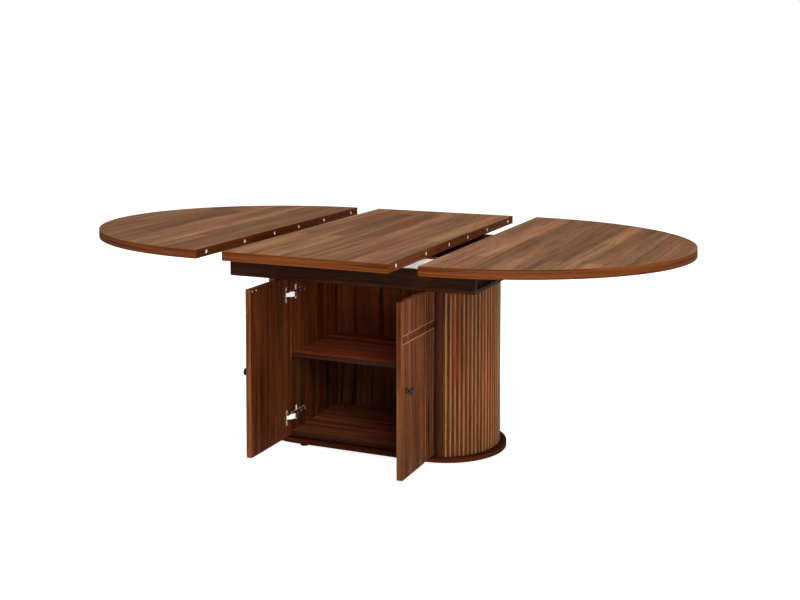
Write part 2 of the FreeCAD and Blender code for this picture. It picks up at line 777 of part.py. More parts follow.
channel_front = "(-apron_depth / 2 + channel_setback)"
channel_blank = block(
    "channel_blank",
    ("channel_length", "2 * track_width", "channel_height"),
    ("-channel_length / 2", channel_front, board_top),
)
tracks = {
    "outer": f"({channel_front} + track_width / 2)",
    "inner": f"({channel_front} + 3 * track_width / 2)",
}
track_cuts = []
cavity_width = "(track_width - 2 * channel_wall)"
cavity_height = "(channel_height - 2 * channel_wall)"
slot_low = f"({board_top} + channel_height - channel_wall)"
for name, track_y in tracks.items():
    track_cuts.append(block(
        f"track_cavity_{name}",
        ("channel_length", cavity_width, cavity_height),
        ("-channel_length / 2", f"{track_y} - {cavity_width} / 2", f"{board_top} + channel_wall"),
    ))
    track_cuts.append(block(
        f"track_slot_{name}",
        ("channel_length", "track_slot", "2 * channel_wall"),
        ("-channel_length / 2", f"{track_y} - track_slot / 2", slot_low),
    ))
front_channel = node(cut("slide_channel_front", channel_blank, group("track_cuts", track_cuts)))

for piece in (front_board, front_ledger, front_channel):
    node(mirror(piece.Name.replace("_front", "_back"), piece, ACROSS_Y))

# ---- Leaves ----

cut_edge = "(centre_leaf_length / 2 + leaf_opening)"
leaf_half_width = "(leaf_width / 2)"


def oval(label, inset):
    """A full oval plate about the cut edge's middle, smaller all round by the inset."""
    reach = f"(end_leaf_reach - {inset})"
    half_width = f"({leaf_half_width} - {inset})"
    outline = doc.addObject("Part::Ellipse", f"{label}_outline")
    bind(outline, MajorRadius=f"max({reach}; {half_width})", MinorRadius=f"min({reach}; {half_width})")
    turn = 0 if value(reach) >= value(half_width) else 90
    outline.Placement = FreeCAD.Placement(FreeCAD.Vector(), FreeCAD.Rotation(FreeCAD.Vector(0, 0, 1), turn))
    place(outline, (cut_edge, "0", leaf_bottom))
    plate = doc.addObject("Part::Extrusion", label)
    plate.Base = outline
    plate.DirMode = "Custom"
    plate.Dir = FreeCAD.Vector(0, 0, 1)
    plate.Solid = True
    return bind(plate, LengthFwd="leaf_thickness")


pin_places = ("pin_place_inner", "pin_place_middle", f"({leaf_half_width} - pin_edge_inset)")
pin_rows_y = [f"{sign}{name}" for name in pin_places for sign in ("-", "")]
pin_z = f"({leaf_bottom} + leaf_thickness / 2)"


def row_of_rods(label, radius, length, start_x, towards):
    """Six rods along X, one at each pin place."""
    return [
        rod(f"{label}_{number}", radius, length, (start_x, pin_y, pin_z), towards)
        for number, pin_y in enumerate(pin_rows_y, start=1)
    ]


def bushes(label, edge_x, towards):
    """Six sleeves let into an edge, and the bores that they fill."""
    bore_rods = row_of_rods(f"{label}_bore", "bush_radius", "bush_length", edge_x, towards)
    bores = group(f"{label}_bores", bore_rods)
    outers = row_of_rods(f"{label}_outer", "bush_radius", "bush_length", edge_x, towards)
    holes = row_of_rods(f"{label}_hole", "pin_radius + bush_play", "bush_length", edge_x, towards)
    sleeves = [cut(f"{label}_{number}", *pair) for number, pair in enumerate(zip(outers, holes), start=1)]
    return group(label, sleeves), bores


def pins(label, edge_x, inward, outward):
    """Six dowel pins half in an edge, and the bores that they fill."""
    tail = "(pin_length - pin_reach)"
    bores = group(f"{label}_bores", row_of_rods(f"{label}_bore", "pin_radius", tail, edge_x, inward))
    step = "+" if outward == "+x" else "-"
    start = f"{edge_x} {step} pin_reach"
    bodies = row_of_rods(f"{label}_body", "pin_radius", "pin_length", start, inward)
    doc.recompute()
    nose_x = value(start)

    def at_nose(edge):
        return abs(edge.BoundBox.XMin - nose_x) < 0.01 and edge.BoundBox.XLength < 0.01

    rounded = [
        eased(f"{label}_{number}", body, "pin_radius / 2", at_nose)
        for number, body in enumerate(bodies, start=1)
    ]
    return group(label, rounded), bores


# Screws that hold each leaf to its slide bars: a place for each, and the hole that it fills
bar_low = f"({board_top} + channel_wall + bar_play)"
bar_end = f"({cut_edge} + bar_under_leaf)"
bar_screw_x = (f"({cut_edge} + bar_screw_first)", f"({bar_end} - bar_screw_last)")


def bar_screws(label, track_y):
    """Two screws that stand in a bar and reach into the leaf, for the front bar of the right leaf."""
    solids = []
    for number, screw_x in enumerate(bar_screw_x, start=1):
        foot = (screw_x, track_y, bar_low)
        length = f"{leaf_bottom} + bar_screw_in_leaf - {bar_low}"
        head = rod(f"{label}_head_{number}", "bar_screw_head_radius", "bar_screw_head_height", foot)
        shank = rod(f"{label}_shank_{number}", "bar_screw_radius", length, foot)
        solids.append(fuse(f"{label}_{number}", [head, shank]))
    return solids


def front_and_back(label, pieces):
    """A group of pieces with its mirror image at the back."""
    front = group(f"{label}_front", pieces)
    return group(label, [front, mirror(f"{label}_rear", front, ACROSS_Y)])


# Right leaf: a half-oval board with a solid edging round its curve, and pins in its cut edge
whole_oval = oval("whole_oval", "0")
inner_oval = oval("inner_oval", "edging_thickness")
right_half = block(
    "right_half",
    ("2 * end_leaf_reach", "2 * leaf_width", "leaf_thickness"),
    (cut_edge, "-leaf_width", leaf_bottom),
)
half_board = common("half_board", inner_oval, right_half)
right_edging = node(common("leaf_right_edging", cut("edging_ring", whole_oval, inner_oval), right_half))
node(mirror("leaf_left_edging", right_edging, ACROSS_X))

right_pins, right_pin_bores = pins("leaf_right_pins", cut_edge, "+x", "-x")
node(right_pins)
right_screw_holes = front_and_back("right_screw_holes", bar_screws("right_hole", tracks["outer"]))
node(cut("leaf_right", half_board, group("right_leaf_cuts", [right_pin_bores, right_screw_holes])))

# Left leaf: the same board, with sleeves for the centre leaf's pins
left_half_board = mirror("left_half_board", half_board, ACROSS_X)
left_bushes, left_bores = bushes("leaf_left_bushes", f"-{cut_edge}", "-x")
node(left_bushes)
left_screw_holes = mirror(
    "left_screw_holes",
    front_and_back("left_screw_holes_seed", bar_screws("left_hole", tracks["inner"])),
    ACROSS_X,
)
node(cut("leaf_left", left_half_board, group("left_leaf_cuts", [left_bores, left_screw_holes])))

# Centre leaf: pins in its left edge and sleeves in its right edge
centre_board = block(
    "centre_board",
    ("centre_leaf_length", "leaf_width - 2 * edging_thickness", "leaf_thickness"),
    ("-centre_leaf_length / 2", f"-{leaf_half_width} + edging_thickness", leaf_bottom),
)
front_edging = block(
    "centre_edging_front",
    ("centre_leaf_length", "edging_thickness", "leaf_thickness"),
    ("-centre_leaf_length / 2", f"-{leaf_half_width}", leaf_bottom),
)
node(group("leaf_centre_edging", [front_edging, mirror("centre_edging_back", front_edging, ACROSS_Y)]))
centre_pins, centre_pin_bores = pins("leaf_centre_pins", "-centre_leaf_length / 2", "+x", "-x")
centre_bushes, centre_bush_bores = bushes("leaf_centre_bushes", "centre_leaf_length / 2", "-x")
node(centre_pins)
node(centre_bushes)
node(cut("leaf_centre", centre_board, group("centre_bores", [centre_pin_bores, centre_bush_bores])))

# ---- Slide bars: a bar in the track, a neck through its slot, and a strip of wood under the leaf ----

bar_start = "(-bar_overlap)"
bar_length = f"({bar_end} + bar_overlap)"
bar_width = f"({cavity_width} - 2 * bar_play)"
bar_height = f"({cavity_height} - 2 * bar_play)"
flange_low = f"({board_top} + channel_height + bar_lift)"
strip_low = f"({flange_low} + bar_flange_thickness)"


def slide_bar(label, track_y):
    """A metal bar of T section that rides in one track of the front channel."""
    body = block(
        f"{label}_body",
        (bar_length, bar_width, bar_height),
        (bar_start, f"{track_y} - {bar_width} / 2", bar_low),
    )
    neck = block(
        f"{label}_neck",
        (bar_length, "bar_neck", f"{flange_low} - {bar_low}"),
        (bar_start, f"{track_y} - bar_neck / 2", bar_low),
    )
    flange = block(
        f"{label}_flange",
        (bar_length, "bar_flange_width", "bar_flange_thickness"),
        (bar_start, f"{track_y} - bar_flange_width / 2", flange_low),
    )
    return fuse(f"{label}_solid", [body, neck, flange])


def strip(label, track_y):
    """A wooden strip on a bar, a little lower where it passes under the centre leaf."""
    blank = block(
        f"{label}_blank",
        (bar_length, "bar_flange_width", f"{leaf_bottom} - {strip_low}"),
        (bar_start, f"{track_y} - bar_flange_width / 2", strip_low),
    )
    relief = block(
        f"{label}_relief",
        (f"{cut_edge} - {bar_start}", "bar_flange_width", "bearer_play"),
        (bar_start, f"{track_y} - bar_flange_width / 2", f"{leaf_bottom} - bearer_play"),
    )
    return cut(f"{label}_solid", blank, relief)


# The right leaf's bars ride in the outer tracks. The left leaf's are turned end for end, in the inner ones
for side, track in (("right", "outer"), ("left", "inner")):
    key = f"{side}_bar"
    track_y = tracks[track]
    screws = front_and_back(f"{key}_screws_seed", bar_screws(f"{key}_screw", track_y))
    bar_holes = group(f"{key}_holes", bar_screws(f"{key}_hole", track_y))
    bar = cut(f"{key}_front", slide_bar(key, track_y), bar_holes)
    strip_holes = group(f"{side}_strip_holes", bar_screws(f"{side}_strip_hole", track_y))
    wood = cut(f"{side}_strip_front", strip(f"{side}_strip", track_y), strip_holes)
    sets = {
        f"slide_bars_{side}": front_and_back(f"{key}_seed", [bar]),
        f"leaf_strips_{side}": front_and_back(f"{side}_strip_seed", [wood]),
        f"bar_screws_{side}": screws,
    }
    for label, pieces in sets.items():
        if side == "right":
            node(group(label, [pieces]))
        else:
            node(mirror(label, pieces, ACROSS_X))

# ---- Check every object, then write each piece ----

doc.recompute()
for thing in doc.Objects:
    if "Invalid" in thing.State or "Error" in thing.State:
        raise ValueError(f"{thing.Label} failed: {thing.State}")
for piece in nodes:
    if piece.Shape.isNull() or not piece.Shape.isValid() or not piece.Shape.Solids:
        raise ValueError(f"{piece.Label} has no valid solid")

os.makedirs("parts", exist_ok=True)
for piece in nodes:
    piece.Shape.exportStep(os.path.join("parts", f"{piece.Label}.step"))
    print(piece.Label, len(piece.Shape.Solids), round(piece.Shape.Volume))
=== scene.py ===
import math

import bmesh
import bpy
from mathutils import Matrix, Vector


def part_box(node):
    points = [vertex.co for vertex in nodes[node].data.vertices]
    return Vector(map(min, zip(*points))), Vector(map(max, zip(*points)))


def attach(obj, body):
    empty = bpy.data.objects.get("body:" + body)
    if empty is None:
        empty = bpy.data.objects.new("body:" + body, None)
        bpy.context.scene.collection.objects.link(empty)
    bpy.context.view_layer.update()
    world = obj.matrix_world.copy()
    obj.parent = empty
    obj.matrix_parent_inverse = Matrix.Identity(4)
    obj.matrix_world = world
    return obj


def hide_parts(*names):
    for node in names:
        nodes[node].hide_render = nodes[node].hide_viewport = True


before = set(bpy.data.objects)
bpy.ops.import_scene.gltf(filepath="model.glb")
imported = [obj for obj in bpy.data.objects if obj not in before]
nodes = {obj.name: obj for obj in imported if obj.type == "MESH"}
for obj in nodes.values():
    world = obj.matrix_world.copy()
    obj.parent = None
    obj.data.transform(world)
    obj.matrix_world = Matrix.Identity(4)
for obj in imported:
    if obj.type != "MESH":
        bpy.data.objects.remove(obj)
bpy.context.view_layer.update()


# ---- Leaves ----
# Three 30 mm boards pressed with a printed walnut foil. The print shows long staves laid across
# the table, each a little lighter or darker than the next, with soft streaks and fine pores. The
# satin varnish is dull enough to veil the wood only where light grazes it.


def tone(code):
    """A colour from its sRGB hex value, as Blender's linear numbers."""
    parts = []
    for place in (1, 3, 5):
        part = int(code[place : place + 2], 16) / 255
        parts.append(part / 12.92 if part <= 0.04045 else ((part + 0.055) / 1.055) ** 2.4)
    return parts + [1.0]


def add(tree, kind, sockets=None, stops=(), **settings):
    """One node: its settings, its colour stops, and a value or an output in each socket."""
    node = tree.nodes.new(kind)
    for name, setting in settings.items():
        setattr(node, name, setting)
    for number, (place, code) in enumerate(stops):
        elements = node.color_ramp.elements
        element = elements[number] if number < len(elements) else elements.new(place)
        element.position = place
        element.color = tone(code)
    for name, source in (sockets or {}).items():
        if isinstance(source, bpy.types.NodeSocket):
            tree.links.new(source, node.inputs[name])
        else:
            node.inputs[name].default_value = source
    return node


def surface(name):
    """A new material, its nodes, its shader, and the coordinates of a point on the piece."""
    material = bpy.data.materials.new(name)
    material.use_nodes = True
    tree = material.node_tree
    return material, tree, tree.nodes["Principled BSDF"], add(tree, "ShaderNodeTexCoord").outputs


def grain(tree, spot, along, across_mm, along_mm, seed, detail=2.0, roughness=0.5):
    """Noise drawn out along the grain: how wide and how long its streaks are."""
    scale = [1000 / across_mm] * 3
    scale["xyz".index(along)] = 1000 / along_mm
    shift = (seed, 1.7 * seed, 2.3 * seed)
    drawn = add(tree, "ShaderNodeMapping", {"Vector": spot, "Scale": scale, "Location": shift})
    noise = {"Vector": drawn.outputs[0], "Scale": 1.0, "Detail": detail, "Roughness": roughness}
    return add(tree, "ShaderNodeTexNoise", noise).outputs["Fac"]


# The grain wanders some 15 mm to each side over half a metre: the noise swings by a third
WANDERS_PER_METRE = 2.0
WANDER = (0.05, 0.05, 0.05)
# Real pores are 0.3 mm wide: these are 2.5 mm, as narrow as the render can show
PORE_MM = 2.5
PORE_TONE = "#b3a297"
# The tints of the darkest and lightest stave, the tint and width of the line between two, and how
# far each row is shifted against the last
STAVE_TONES = ("#c8bbae", "#ffffff")
STAVE_JOINT = ("#cfc3b8", 0.0004)
STAVE_STAGGER = 0.37
# A face is one of a board's flat ones where at least this much of its normal points up or down
UPRIGHT = 0.7
# The settings of a Mix node that tints one colour by another
MULTIPLIED = {"data_type": "RGBA", "blend_type": "MULTIPLY"}


def walnut(
    name,
    along,
    tones,
    seed,
    streak_mm=45,
    vein="#c4b2a4",
    drift=(70, "#eaf0ea", "#fff0e8"),
    staves=None,
    ends=None,
    gloss=0.46,
    shine=0.07,
    end_shine=None,
):
    """Printed walnut: wide bands, narrow streaks, dark veins, and pores along the grain.

    tones are its dark, middle and light. drift is how wide in mm its cooler and warmer patches are,
    and their tints. staves are the length and width in mm of the strips that the print shows. ends
    are the dark and light of the faces that stand upright round a flat board. shine is how much of
    the lamps' light the varnish mirrors, and end_shine is that of the ends where it differs.
    """
    material, tree, shader, place = surface(name)
    swing = {"Vector": place["Object"], "Scale": WANDERS_PER_METRE, "Detail": 1.0}
    swing = add(tree, "ShaderNodeTexNoise", swing).outputs["Color"]
    centred = {0: swing, 1: (0.5, 0.5, 0.5)}
    centred = add(tree, "ShaderNodeVectorMath", centred, operation="SUBTRACT").outputs[0]
    swayed = {0: centred, 1: WANDER, 2: place["Object"]}
    swayed = add(tree, "ShaderNodeVectorMath", swayed, operation="MULTIPLY_ADD").outputs[0]
    # Sizes across and along the grain are in mm
    bands = grain(tree, swayed, along, streak_mm, 1500, seed)
    streaks = grain(tree, swayed, along, 9, 380, seed + 3, 3.0, 0.6)
    veins = grain(tree, swayed, along, 15, 800, seed + 8, 1.0)
    patches = grain(tree, swayed, along, drift[0], 900, seed + 13, 1.0)
    pores = grain(tree, swayed, along, PORE_MM, 80, seed + 5, 2.0, 0.65)
    # The figure is a little more bands than streaks
    figure = add(tree, "ShaderNodeMath", {0: bands, 1: 0.55}, operation="MULTIPLY").outputs[0]
    figure = {0: streaks, 1: 0.45, 2: figure}
    figure = add(tree, "ShaderNodeMath", figure, operation="MULTIPLY_ADD").outputs[0]
    stops = [(0.34, tones[0]), (0.50, tones[1]), (0.66, tones[2])]
    colour = add(tree, "ShaderNodeValToRGB", {"Fac": figure}, stops).outputs[0]
    # Each layer tints the wood by so much of itself
    layers = []
    for strength, pattern, stops in (
        (0.8, patches, [(0.38, drift[1]), (0.62, drift[2])]),
        (0.9, veins, [(0.54, "#ffffff"), (0.74, vein)]),
        (0.7, pores, [(0.30, PORE_TONE), (0.47, "#ffffff")]),
    ):
        layers.append((strength, add(tree, "ShaderNodeValToRGB", {"Fac": pattern}, stops)))
    if staves:
        turned = {
            "Vector": place["Object"],
            "Rotation": (0, 0, math.pi / 2),
            "Location": (0.31 * seed, 0.17 * seed, 0),
        }
        strips = {
            "Vector": add(tree, "ShaderNodeMapping", turned).outputs[0],
            "Color1": tone(STAVE_TONES[0]),
            "Color2": tone(STAVE_TONES[1]),
            "Mortar": tone(STAVE_JOINT[0]),
            "Scale": 1.0,
            "Mortar Size": STAVE_JOINT[1],
            "Brick Width": staves[0] / 1000,
            "Row Height": staves[1] / 1000,
        }
        layers.append((0.85, add(tree, "ShaderNodeTexBrick", strips, offset=STAVE_STAGGER)))
    for strength, layer in layers:
        mixed = {0: strength, 6: colour, 7: layer.outputs[0]}
        colour = add(tree, "ShaderNodeMix", mixed, **MULTIPLIED).outputs[2]
    shader.inputs["Specular IOR Level"].default_value = shine
    if ends:
        # An edge strip: thin level streaks that follow the board's outline
        level = {"Vector": place["Object"], "Scale": (2.2, 2.2, 170), "Location": (seed, 0, 0)}
        level = add(tree, "ShaderNodeMapping", level).outputs[0]
        lines = {"Vector": level, "Scale": 1.0, "Detail": 3.0}
        lines = add(tree, "ShaderNodeTexNoise", lines).outputs["Fac"]
        stops = [(0.36, ends[0]), (0.62, ends[1])]
        strip = add(tree, "ShaderNodeValToRGB", {"Fac": lines}, stops).outputs[0]
        facing = add(tree, "ShaderNodeSeparateXYZ", {0: place["Normal"]}).outputs["Z"]
        facing = add(tree, "ShaderNodeMath", {0: facing}, operation="ABSOLUTE").outputs[0]
        flat = {0: facing, 1: UPRIGHT}
        flat = add(tree, "ShaderNodeMath", flat, operation="GREATER_THAN").outputs[0]
        mixed = {0: flat, 6: strip, 7: colour}
        colour = add(tree, "ShaderNodeMix", mixed, data_type="RGBA").outputs[2]
        if end_shine is not None:
            veil = {"Value": flat, "To Min": end_shine, "To Max": shine}
            veil = add(tree, "ShaderNodeMapRange", veil).outputs[0]
            tree.links.new(veil, shader.inputs["Specular IOR Level"])
    tree.links.new(colour, shader.inputs["Base Color"])
    # The varnish sinks into the pores, which are duller
    dulled = {
        "Value": pores,
        "From Min": 0.3,
        "From Max": 0.6,
        "To Min": gloss + 0.08,
        "To Max": gloss - 0.03,
    }
    dulled = add(tree, "ShaderNodeMapRange", dulled).outputs[0]
    tree.links.new(dulled, shader.inputs["Roughness"])
    relief = add(tree, "ShaderNodeBump", {"Strength": 0.35, "Distance": 0.0004, "Height": pores})
    tree.links.new(relief.outputs[0], shader.inputs["Normal"])
    return material


def finish_as(material, *names):
    """The node's surface gets this material all over."""
    for name in names:
        slots = nodes[name].material_slots
        for slot in slots:
            slot.material = material
        if not slots:
            nodes[name].data.materials.append(material)


TOP_TONES = ("#6b4b32", "#855e42", "#9c7451")
TOP_VEIN = "#d4c5b9"
STAVE_MM = (640, 62)
# The varnish lies on the flat faces, and hardly on the cut ones
TOP_SHINE = 0.2
CUT_SHINE = 0.05
# Each leaf's cut faces, from the left leaf to the right one. The left leaf's are darker: painted
# shade from the centre leaf beside them.
CUT_TONES = (("#492009", "#5e2c13"), ("#602e11", "#7b3d1e"), ("#5c2b0f", "#763a1b"))
LEAVES = ("leaf_left", "leaf_centre", "leaf_right")
for number, (leaf, cut_tones) in enumerate(zip(LEAVES, CUT_TONES)):
    leaf_foil = walnut(
        f"walnut_foil_{leaf}",
        "y",
        TOP_TONES,
        seed=3.1 + 4.7 * number,
        vein=TOP_VEIN,
        staves=STAVE_MM,
        ends=cut_tones,
        shine=TOP_SHINE,
        end_shine=CUT_SHINE,
    )
    finish_as(leaf_foil, leaf)

# ---- Leaf edging ----
# A 2.5 mm walnut-printed strip, ironed on round each leaf's outer edge and flush with its faces. It
# is redder than the foil, and its fine streaks run level round the curve.

EDGE_TONES = ("#52240c", "#7b431f")
EDGE_SHINE = 0.05
edge_strip = walnut(
    "walnut_edge_strip", "y", TOP_TONES, seed=19.0, ends=EDGE_TONES, shine=EDGE_SHINE
)
finish_as(edge_strip, "leaf_left_edging", "leaf_centre_edging", "leaf_right_edging")

# ---- Locating pins and sleeves ----
# Turned beech dowels with rounded noses, glued in, and moulded nylon sleeves pressed in flush. They
# line the leaves up as these close. Both are pale and slightly uneven.

# Grit is drawn four times coarser than it is, or the render can't show it
GRIT_DRAWN = 4


def plain(name, colour, roughness, grit_mm=1.0, relief=0.15, variation=0.06, metallic=0.0):
    """A solid-colour surface with a little unevenness of tone, gloss and height."""
    material, tree, shader, place = surface(name)
    grit = {"Vector": place["Object"], "Scale": 1000 / (GRIT_DRAWN * grit_mm), "Detail": 4.0}
    grit = add(tree, "ShaderNodeTexNoise", grit).outputs["Fac"]
    patch = {
        "Value": grit,
        "From Min": 0.3,
        "From Max": 0.7,
        "To Min": 1 - variation,
        "To Max": 1 + variation,
    }
    patch = add(tree, "ShaderNodeMapRange", patch).outputs[0]
    uneven = {0: tone(colour)[:3], 3: patch}
    uneven = add(tree, "ShaderNodeVectorMath", uneven, operation="SCALE").outputs[0]
    tree.links.new(uneven, shader.inputs["Base Color"])
    gloss = {"Value": grit, "To Min": max(0.05, roughness - 0.06), "To Max": roughness + 0.06}
    gloss = add(tree, "ShaderNodeMapRange", gloss).outputs[0]
    tree.links.new(gloss, shader.inputs["Roughness"])
    bump = add(tree, "ShaderNodeBump", {"Strength": relief, "Distance": 0.0002, "Height": grit})
    tree.links.new(bump.outputs[0], shader.inputs["Normal"])
    shader.inputs["Metallic"].default_value = metallic
    return material


beech = plain("turned_beech", "#d8b894", roughness=0.55, grit_mm=2.0, variation=0.12)
finish_as(beech, "leaf_centre_pins", "leaf_right_pins")
sleeve_nylon = plain("moulded_nylon", "#f3e6d8", roughness=0.45)
finish_as(sleeve_nylon, "leaf_left_bushes", "leaf_centre_bushes")

# ---- Extension slides ----
# Extruded aluminium channels screwed to the apron boards, T bars in their tracks, and a strip of
# hardwood on each bar, held by bright zinc-plated screws. The front metal is anodised a pale, even
# silver. The rear metal is painted a dull black: painted shade under the leaves.


def whereabouts(material):
    """The material's nodes, and the X, Y and Z of where a point lies on the table at rest."""
    tree = material.node_tree
    place = add(tree, "ShaderNodeTexCoord").outputs["Object"]
    return tree, add(tree, "ShaderNodeSeparateXYZ", {0: place}).outputs


# Used both for real stains and for painted shade and painted reflections
def stain_and_shade(material, mask, code):
    """Multiplies the material's colour where the mask, an output from 0 to 1, is high."""
    tree = material.node_tree
    base = tree.nodes["Principled BSDF"].inputs["Base Color"]
    mixed = {0: mask, 6: base.links[0].from_socket, 7: tone(code)}
    tree.links.new(add(tree, "ShaderNodeMix", mixed, **MULTIPLIED).outputs[2], base)


SILVER = "#fcfbf9"
anodised = plain("anodised_aluminium", SILVER, roughness=0.42, grit_mm=0.8, metallic=0.05)
finish_as(anodised, "slide_channel_front")
# The rear channel is black as painted shade under the leaves
rear_shade_aluminium = plain(
    "aluminium_painted_black_as_shade", "#1d1a19", roughness=0.5, grit_mm=0.8, metallic=0.35
)
finish_as(rear_shade_aluminium, "slide_channel_back")
# One node holds a front and a rear bar, so its material turns black behind the middle: painted
# shade
bar_with_rear_shade = plain("anodised_bar_with_painted_rear_shade", SILVER, roughness=0.42, grit_mm=0.8, metallic=0.05)
tree, spot = whereabouts(bar_with_rear_shade)
rear_shade = add(tree, "ShaderNodeMath", {0: spot["Y"], 1: 0.0}, operation="GREATER_THAN")
stain_and_shade(bar_with_rear_shade, rear_shade.outputs[0], "#262221")
finish_as(bar_with_rear_shade, "slide_bars_left", "slide_bars_right")
STRIP_TONES = ("#3a2216", "#4a2d1d", "#5a3a26")
runner_wood = walnut("oiled_hardwood_strip", "x", STRIP_TONES, seed=7.0)
finish_as(runner_wood, "leaf_strips_left", "leaf_strips_right")
zinc = plain("zinc_plated_steel", "#e6dcd6", roughness=0.36, grit_mm=0.6, metallic=0.3)
finish_as(zinc, "bar_screws_left", "bar_screws_right")

# ---- Apron box ----
# A platform board with two long boards on edge, in a darker walnut foil with the grain along the
# table. The ledgers and bearers inside are the same board.


def ease(width_mm, *names):
    """Every sharp edge is rounded a little, as on a real board, so that it catches light."""
    for name in names:
        piece = nodes[name]
        weld = piece.modifiers.new("joined", "WELD")
        weld.merge_threshold = 0.00001
        bevel = piece.modifiers.new("eased", "BEVEL")
        bevel.width = width_mm / 1000
        bevel.segments = 2
        bevel.limit_method = "ANGLE"
        bevel.angle_limit = math.radians(40)
        bevel.harden_normals = True


APRON_TONES = ("#251209", "#341c0e", "#402415")
PLATFORM_TONES = ("#32190b", "#442312", "#532e18")
apron_foil = walnut("dark_walnut_foil", "x", APRON_TONES, seed=11.0, streak_mm=22, gloss=0.5)
finish_as(apron_foil, "apron_board_front", "apron_board_back")
finish_as(apron_foil, "rail_ledger_front", "rail_ledger_back")
finish_as(apron_foil, "cross_bearer_left", "cross_bearer_right")
platform_foil = walnut(
    "platform_walnut_foil", "x", PLATFORM_TONES, seed=61.0, streak_mm=22, gloss=0.5
)
finish_as(platform_foil, "platform_board")
ease(1.0, "platform_board", "apron_board_front", "apron_board_back")

# ---- Cabinet carcass ----
# Boards with a reddish walnut foil, darker and cooler inside below the shelf, which is painted
# shade:
# the grain stands upright on the sides and back, and runs along the floor, the shelf and the top.
# Dowels and cams hold it together out of sight, and the shelf lies on bright nickel-plated pins.


def product(tree, *masks):
    """White where all of the masks are white."""
    whole = masks[0]
    for mask in masks[1:]:
        whole = add(tree, "ShaderNodeMath", {0: whole, 1: mask}, operation="MULTIPLY").outputs[0]
    return whole


SHELF_UNDERSIDE = 0.318
# Where the back's outer skin begins
BACK_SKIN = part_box("back_panel")[1][1] - 0.001
INNER_TONES = ("#542311", "#8a4a2c", "#b26943")
BACK_TONES = ("#94562f", "#a4613b", "#af6b43")
LEVEL_TONES = ("#56281a", "#8e563d", "#b67959")
LEVEL_ENDS = ("#2c1509", "#4a2818")
SHELF_TONES = ("#8a3c25", "#c26c47", "#e69568")
SHELF_ENDS = ("#321a0f", "#48291a")
INNER_DRIFT = (24, "#b4b09c", "#ffc8b0")
LEVEL_DRIFT = (24, "#c4b8ac", "#ffd0ba")
INNER_VEIN = "#7a5a4c"
SHELF_VEIN = "#8a5a48"

for name, tones, seed, panels in (
    ("inner", INNER_TONES, 23.0, ("side_panel_left", "side_panel_right")),
    ("back", BACK_TONES, 59.0, ("back_panel",)),
):
    foil = walnut(
        f"{name}_walnut_upright",
        "z",
        tones,
        seed=seed,
        streak_mm=22,
        vein=INNER_VEIN,
        drift=INNER_DRIFT,
    )
    tree, spot = whereabouts(foil)
    # Inside, below the shelf, the foil is darkened and cooled: painted shade under the shelf
    low = {
        "Value": spot["Z"],
        "From Min": SHELF_UNDERSIDE + 0.004,
        "From Max": SHELF_UNDERSIDE - 0.004,
    }
    low = add(tree, "ShaderNodeMapRange", low).outputs[0]
    inside = {0: spot["Y"], 1: BACK_SKIN}
    inside = add(tree, "ShaderNodeMath", inside, operation="LESS_THAN").outputs[0]
    stain_and_shade(foil, product(tree, low, inside), "#b3ccd2")
    # Outside, the back has the doors' darker foil
    if name == "back":
        outside = {0: spot["Y"], 1: BACK_SKIN}
        outside = add(tree, "ShaderNodeMath", outside, operation="GREATER_THAN").outputs[0]
        stain_and_shade(foil, outside, "#bcbfb5")
    finish_as(foil, *panels)
level_foil = walnut(
    "inner_walnut_level",
    "x",
    LEVEL_TONES,
    seed=29.0,
    streak_mm=22,
    vein=INNER_VEIN,
    drift=LEVEL_DRIFT,
    ends=LEVEL_ENDS,
)
finish_as(level_foil, "cabinet_floor", "top_panel", "end_ribs_left", "end_ribs_right")
shelf_foil = walnut(
    "shelf_walnut_foil",
    "x",
    SHELF_TONES,
    seed=53.0,
    streak_mm=20,
    vein=SHELF_VEIN,
    drift=LEVEL_DRIFT,
    ends=SHELF_ENDS,
)
finish_as(shelf_foil, "shelf")
ease(0.8, "shelf", "cabinet_floor")
nickel = plain("nickel_plated_steel", "#e9e8e6", roughness=0.30, grit_mm=0.6, metallic=0.7)
finish_as(nickel, "shelf_pins")

# ---- Rounded fluted ends ----
# Bent boards with a row of upright coves routed in, wrapped in walnut foil. The hollows of the
# coves are darkened as painted shade, so the narrow lands between them look lighter. The plain
# border beside the door is darkened as painted shade of the door.

END_CENTRE = 0.218
LAND_RADIUS = 0.222
COVE_DEPTH = 0.004
# The plain border beside the door ends here, and the flutes stop between these two at the rear
BORDER_END = 0.314
PLAIN_REAR = (0.05, 0.17)
FLUTE_TONES = ("#9a6f49", "#b2865c", "#ba8f65")
FLUTE_DRIFT = (26, "#dcd6d2", "#ffdcc8")
FLUTE_VEIN = "#b89478"

end_foil = walnut(
    "fluted_walnut_foil",
    "z",
    FLUTE_TONES,
    seed=31.0,
    streak_mm=18,
    vein=FLUTE_VEIN,
    drift=FLUTE_DRIFT,
)
tree, spot = whereabouts(end_foil)
outward = add(tree, "ShaderNodeMath", {0: spot["X"]}, operation="ABSOLUTE").outputs[0]
across = {0: outward, 1: END_CENTRE}
across = add(tree, "ShaderNodeMath", across, operation="SUBTRACT").outputs[0]
level = add(tree, "ShaderNodeCombineXYZ", {"X": across, "Y": spot["Y"]}).outputs[0]
radius = add(tree, "ShaderNodeVectorMath", {0: level}, operation="LENGTH").outputs["Value"]
# The painted shade in a hollow is darkest from four fifths of the way down
cove_shade = {
    "Value": radius,
    "From Min": LAND_RADIUS - 0.0002,
    "From Max": LAND_RADIUS - 0.8 * COVE_DEPTH,
}
stain_and_shade(end_foil, add(tree, "ShaderNodeMapRange", cove_shade).outputs[0], "#a07e64")
